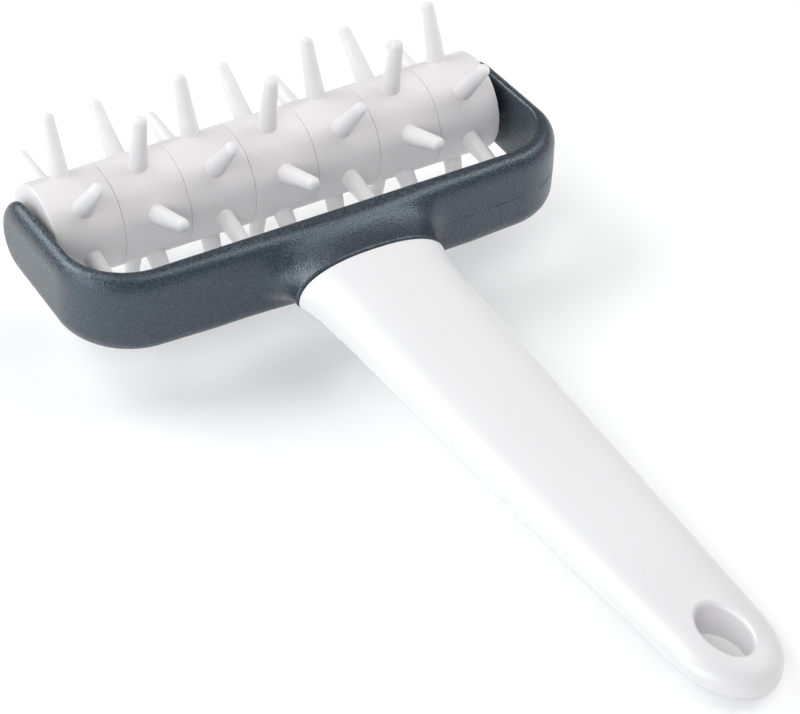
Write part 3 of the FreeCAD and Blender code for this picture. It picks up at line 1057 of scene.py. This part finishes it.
@dataclass(frozen=True)
class SpikedRing:
    """One ring of the roller with its spikes, in millimetres."""

    number: int
    rings: int = 7
    width: float = 15.0
    seam: float = 0.07
    radius: float = 10.93
    edge: float = 0.14
    end_edge: float = 0.4
    bore: float = 4.4
    spikes: int = 6
    spike_length: float = 13.06
    base_radius: float = 2.07
    tip_radius: float = 1.37
    tip_round: float = 1.36
    foot: float = 0.14
    foot_sink: float = 0.03
    root_spread: float = 0.15
    root_depth: float = 0.5
    moulding_height: float = 4.0
    crease: float = 40.0
    sides: int = 144
    edge_steps: int = 8
    drum_steps: int = 8
    spike_sides: int = 32
    spike_steps: int = 7
    foot_steps: int = 5
    tip_steps: int = 10

    def drum(self) -> Mesh:
        """Body of the ring with softened edges."""
        half = (self.width - self.seam) / 2
        left = self.end_edge if self.number == 1 else self.edge
        right = self.end_edge if self.number == self.rings else self.edge
        arc = quarter(self.edge_steps)[1:]
        profile = [(-half, self.bore), (-half, self.radius - left)]
        profile += [(left * (1 - cosine) - half, self.radius - left * (1 - sine)) for cosine, sine in arc]
        straight = np.linspace(left - half, half - right, self.drum_steps + 1)[1:]
        profile += [(x, self.radius) for x in straight]
        profile += [(half - right * (1 - sine), self.radius - right * (1 - cosine)) for cosine, sine in arc]
        profile.append((half, self.bore))
        turn = around(self.sides)
        loops = []
        for x, radius in profile:
            y, z = radius * np.cos(turn), radius * np.sin(turn)
            loops.append(np.stack([np.full(self.sides, x), y, z], 1))
        return Mesh().tube(loops, ring=True)

    def spike(self, angle: float, mesh: Mesh) -> None:
        """Add one spike with a soft foot that follows the drum and a round point.

        Args:
            angle: Direction of the spike round the roller axis.
            mesh: Mesh that takes the spike.
        """
        taper = (self.base_radius - self.tip_radius) / self.spike_length
        profile = [(self.base_radius + self.foot + self.root_spread, -self.root_depth)]
        for cosine, sine in quarter(self.foot_steps):
            height = self.foot * (1 - cosine) - self.foot_sink
            profile.append((self.base_radius + self.foot * (1 - sine), height))
        top = self.spike_length - self.tip_round
        for height in np.linspace(self.foot, top, self.spike_steps + 1)[1:]:
            profile.append((self.base_radius - taper * height, height))
        flat = profile[-1][0] - self.tip_round
        for cosine, sine in quarter(self.tip_steps)[1:-1]:
            profile.append((flat + self.tip_round * cosine, top + self.tip_round * sine))
        turn = around(self.spike_sides)
        cosine, sine = math.cos(angle), math.sin(angle)
        loops = []
        for radius, height in profile:
            x, y = radius * np.cos(turn), radius * np.sin(turn)
            bend = np.clip(1 - height / self.moulding_height, 0, 1)
            out = self.radius + height + (np.sqrt(self.radius ** 2 - y ** 2) - self.radius) * bend
            loops.append(np.stack([x, out * -sine + y * cosine, out * cosine + y * sine], 1))
        mesh.tube(loops)

    def build(self, matrix: Matrix) -> bpy.types.Object:
        """Make the ring as one closed mesh in its place on the roller.

        Args:
            matrix: Matrix from the roller to the row.

        Returns:
            The ring.
        """
        place = matrix @ Matrix.Translation((self.width * (self.number - (self.rings + 1) / 2), 0, 0))
        piece = self.drum().object("spiked_ring_%d" % self.number, place)
        phase = 0 if self.number % 2 else math.pi / self.spikes
        crown = Mesh()
        for k in range(self.spikes):
            self.spike(phase + 2 * math.pi * k / self.spikes, crown)
        combine(piece, crown.object("spikes", place), Cut.JOIN)
        smooth(piece, self.crease)
        return piece


@dataclass(frozen=True)
class Softbox:
    """One area light aimed at a point, in metres and watts.

    A light without shine makes no highlights, and one without fill makes nothing else.
    """

    name: str
    place: tuple
    size: tuple
    power: float
    tint: tuple = WHITE
    aim: tuple = (0.0, 0.0, 0.02)
    shine: bool = True
    fill: bool = True

    def build(self) -> None:
        """Make the light."""
        data = bpy.data.lights.new(self.name, "AREA")
        data.shape = "RECTANGLE"
        data.size, data.size_y = self.size
        data.energy = self.power
        data.color = self.tint
        lamp = bpy.data.objects.new(self.name, data)
        lamp.visible_glossy = self.shine
        lamp.visible_diffuse = self.fill
        bpy.context.scene.collection.objects.link(lamp)
        lamp.location = self.place
        lamp.rotation_mode = "QUATERNION"
        lamp.rotation_quaternion = (Vector(self.aim) - Vector(self.place)).to_track_quat("-Z", "Y")


@dataclass(frozen=True)
class SlopedSky:
    """Pale surroundings that are brightest in one direction and dark opposite to it."""

    towards: tuple = (0.620, -0.750, -0.233)
    dim: float = 0.01
    bright: float = 0.52
    tint: tuple = (0.985, 0.99, 1.0, 1.0)

    def build(self) -> None:
        """Make the surroundings and give them to the scene."""
        world = bpy.data.worlds.new("studio")
        world.use_nodes = True
        sky = Nodes(world.node_tree)
        look = sky.node("ShaderNodeTexCoord", {}, {}, "Generated")
        # The direction gives -1 to 1, and the share runs from 0 to 1
        share = sky.along(look, self.towards) * 0.5 + 0.5
        first, second = [
            sky.node("ShaderNodeBackground", {}, {"Color": self.tint, "Strength": level})
            for level in (self.dim, self.bright)
        ]
        both = sky.node("ShaderNodeMixShader", {}, {0: share, 1: first, 2: second})
        sky.node("ShaderNodeOutputWorld", {}, {"Surface": both}, None)
        bpy.context.scene.world = world


@dataclass(frozen=True)
class Studio:
    """Floor, light and camera, which is measured in millimetres from the roller axis."""

    camera_mm: tuple = (-228.5, -447.8, 281.3)
    right: tuple = (0.8551, -0.5177, -0.0264)
    down: tuple = (-0.3041, -0.4598, -0.8344)
    ahead: tuple = (0.4198, 0.7215, -0.5506)
    focal_px: float = 2720.0
    shift_px: tuple = (-0.5, 0.5)
    sensor_mm: float = 36.0
    clip: tuple = (0.01, 20.0)
    floor_reach: float = 3.0
    floor_gap: float = 0.0001

    def camera(self, pose: Pose) -> None:
        """Set the camera at the viewing angle, measured from the roller axis."""
        data = bpy.data.cameras.new("camera")
        data.sensor_fit = "HORIZONTAL"
        data.sensor_width = self.sensor_mm
        data.lens = self.focal_px / IMAGE_WIDTH * data.sensor_width
        data.shift_x, data.shift_y = [shift / IMAGE_WIDTH for shift in self.shift_px]
        data.clip_start, data.clip_end = self.clip
        camera = bpy.data.objects.new("camera", data)
        bpy.context.scene.collection.objects.link(camera)
        columns = [Vector(self.right), -Vector(self.down), -Vector(self.ahead)]
        turn = Matrix(columns).transposed().to_4x4()
        spot = Vector(pose.axis) + Vector(self.camera_mm) * MM
        camera.matrix_world = Matrix.Translation(spot) @ turn.to_quaternion().to_matrix().to_4x4()
        bpy.context.scene.camera = camera

    def floor(self) -> None:
        """Lay the pale floor just under the tool."""
        reach = self.floor_reach
        spots = [(-reach, -reach, 0), (reach, -reach, 0), (reach, reach, 0), (-reach, reach, 0)]
        plane = Mesh(spots, [(0, 1, 2, 3)]).object("floor", Matrix.Translation((0, 0, -self.floor_gap)))
        plane.data.materials.append(PaleFloor("pale_floor").material())

    def light(self) -> None:
        """Hang the soft lights and set the pale surroundings."""
        left, back_high = (-1.15, 0.0, 0.45), (-0.55, 0.75, 0.95)
        roller = (0.0, 0.04, 0.03)
        boxes = [
            Softbox("left_box", left, (0.8, 0.7), 4.2, (0.91, 0.967, 1.0)),
            Softbox("left_glint", left, (0.8, 0.7), 13.0, (0.80, 0.93, 1.0), fill=False),
            Softbox("back_left_box", (-0.80, 0.85, 0.50), (0.9, 0.7), 1.1),
            Softbox("back_box", (0.15, 1.15, 0.60), (0.9, 0.7), 1.9, shine=False),
            Softbox("back_high_box", back_high, (0.8, 0.6), 5.4),
            Softbox("back_high_glint", back_high, (0.8, 0.6), 26.0, fill=False),
            Softbox("top_right_box", (0.50, 0.0, 1.10), (1.1, 1.2), 4.7),
            Softbox("top_right_glint", (0.38, 0.0, 0.52), (0.3, 0.3), 0.6, aim=roller, fill=False),
            Softbox("right_box", (1.15, 0.0, 0.55), (0.8, 0.7), 4.7, shine=False),
            Softbox("front_left_box", (-0.80, -0.80, 0.70), (0.7, 0.7), 6.1, shine=False),
        ]
        for box in boxes:
            box.build()
        SlopedSky().build()
        bpy.context.scene.view_settings.view_transform = "Standard"

    def build(self, pose: Pose) -> None:
        """Set up the whole studio."""
        self.camera(pose)
        self.floor()
        self.light()


def main() -> None:
    """Build every piece in order and report it."""
    logging.basicConfig(level=logging.INFO, format="%(message)s")
    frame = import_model()
    first = SpikedRing(1)
    pose = Pose.from_record(frame["record"], first.spikes)
    slate = GrainedPlastic("slate_grain", pose.axis, pose.slope).material()
    white = HandlePlastic("white_satin", axis=pose.axis).material()
    cream = RollerPlastic("roller_satin", axis=pose.axis).material()
    plain = SatinPlastic("axle_natural", light=(0.72, 0.72, 0.70), dull=(0.66, 0.66, 0.64), gloss=0.42)
    natural = plain.material()

    still, turning = pose.matrix(Body.FRAME), pose.matrix(Body.ROLLER)
    grip = Grip()
    finish_piece(grip.build(still), white, Body.FRAME, ["handle"])
    fork = Fork(grip)
    finish_piece(fork.build(still), slate, Body.FRAME, ["yoke"])
    finish_piece(fork.root(still), slate, Body.FRAME, ["yoke"])
    for number in range(1, first.rings + 1):
        ring = SpikedRing(number).build(turning)
        finish_piece(ring, cream, Body.ROLLER, ["ring_%d" % number])
    axle = frame["nodes"]["axle"]
    axle.data.materials.clear()
    axle.data.materials.append(natural)

    Studio().build(pose)


if __name__ == "__main__":
    main()
